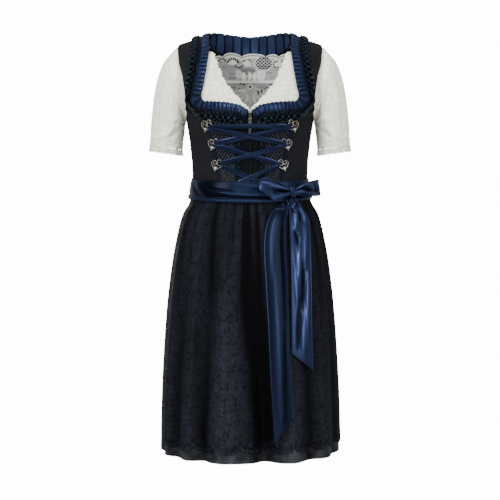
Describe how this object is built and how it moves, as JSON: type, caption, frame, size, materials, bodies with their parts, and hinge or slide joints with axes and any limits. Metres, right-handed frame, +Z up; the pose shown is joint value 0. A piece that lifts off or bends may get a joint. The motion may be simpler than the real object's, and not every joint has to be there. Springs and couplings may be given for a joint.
{
  "type": "dirndl with apron and lace blouse",
  "caption": "Laced dirndl bodice with a gathered knee-length skirt, a scalloped lace apron tied in a satin bow, and a short-sleeved lace blouse, filled out as worn.",
  "frame": {"origin": "between the shoulders at the height of the strap tops, where the wearer holds the set up", "axes": "+Z up; the front faces -Y; +X is the side of the bow"},
  "size_m": [0.479, 0.3999, 0.998],
  "materials": {
    "bodice": "black woven cotton",
    "brocade": "black jacquard with small woven rings",
    "blouse": "off-white lace over cotton",
    "lace": "off-white lace with scalloped edges",
    "satin": "navy satin",
    "ruche": "dark teal pleated ribbon",
    "skirt": "black jacquard with woven dots",
    "apron": "dark navy lace with scalloped hem",
    "metal": "antique silver"
  },
  "bodies": {
    "garment": {"centre_front_left": "brocade", "centre_front_right": "brocade", "side_front_left": "bodice", "side_front_right": "bodice", "side_back_left": "bodice", "side_back_right": "bodice", "centre_back": "bodice", "blouse_front_left": "blouse", "blouse_front_right": "blouse", "blouse_back_left": "blouse", "blouse_back_right": "blouse", "blouse_lace_back": "lace", "sleeve_left": "blouse", "sleeve_right": "blouse", "cuff_lace_left": "lace", "cuff_lace_right": "lace", "neck_pleats_left": "satin", "neck_pleats_right": "satin", "neck_pleats_back": "satin", "neck_piping_left": "satin", "neck_piping_right": "satin", "neck_piping_back": "satin", "neck_ruche_left": "ruche", "neck_ruche_right": "ruche", "neck_ruche_back": "ruche", "centre_ruche_left": "ruche", "centre_ruche_right": "ruche", "princess_piping_left": "satin", "princess_piping_right": "satin", "hook_left_1": "metal", "hook_left_2": "metal", "hook_left_3": "metal", "hook_right_1": "metal", "hook_right_2": "metal", "hook_right_3": "metal", "lacing_top": "satin", "lacing_one_down": "satin", "lacing_one_up": "satin", "lacing_two_down": "satin", "lacing_two_up": "satin", "lacing_end_left": "satin", "lacing_end_right": "satin", "zip_chain": "metal", "zip_slider": "metal", "skirt_front": "skirt", "skirt_back": "skirt", "apron": "apron", "sash": "satin", "bow_loop_left": "satin", "bow_loop_right": "satin", "bow_knot": "satin", "bow_tail_long": "satin", "bow_tail_short": "satin"},
    "pull_tab": {"zip_pull_tab": "metal"}
  },
  "joints": [
    {"name": "pull_tab_swing", "type": "hinge", "parent": "garment", "child": "pull_tab", "pos_m": [0, -0.1345, -0.1945], "axis": [-1, 0, 0], "range_deg": [0, 160]}
  ]
}
